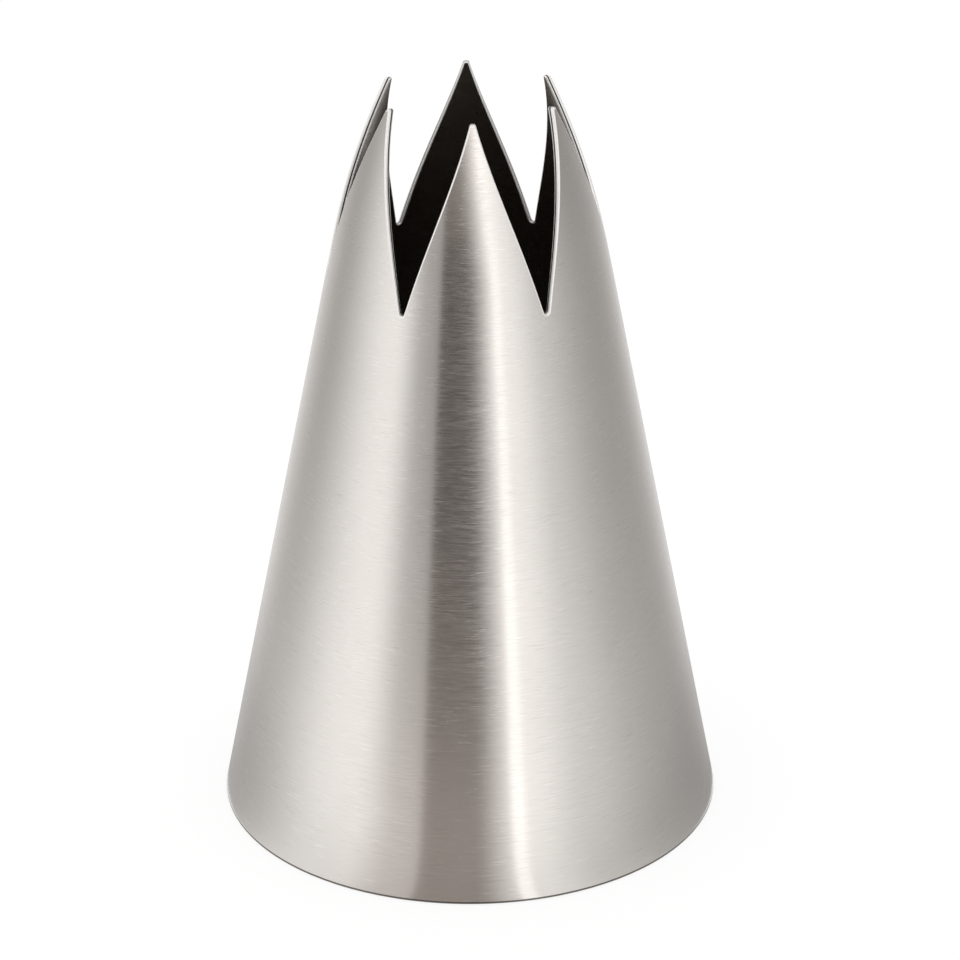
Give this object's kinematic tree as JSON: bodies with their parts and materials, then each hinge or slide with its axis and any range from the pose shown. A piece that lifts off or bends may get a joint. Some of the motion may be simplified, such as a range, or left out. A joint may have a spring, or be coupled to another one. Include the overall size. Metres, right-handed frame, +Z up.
{
  "type": "piping nozzle",
  "caption": "Conical stainless steel piping nozzle whose narrow end is cut into pointed teeth bent slightly inwards, so that icing or cream pushed through it comes out as a star.",
  "frame": {"origin": "centre of the foot circle, on the plane that the nozzle stands on", "axes": "+Z up the nozzle's axis from the foot to the teeth; -Y towards the front tooth; +X through the middle of a notch"},
  "size_m": [0.025, 0.025, 0.0374],
  "materials": {
    "brushed_steel": "satin stainless steel with fine scratches round the cone and polished cut edges"
  },
  "bodies": {
    "root": {"nozzle_shell": "brushed_steel"}
  },
  "joints": []
}
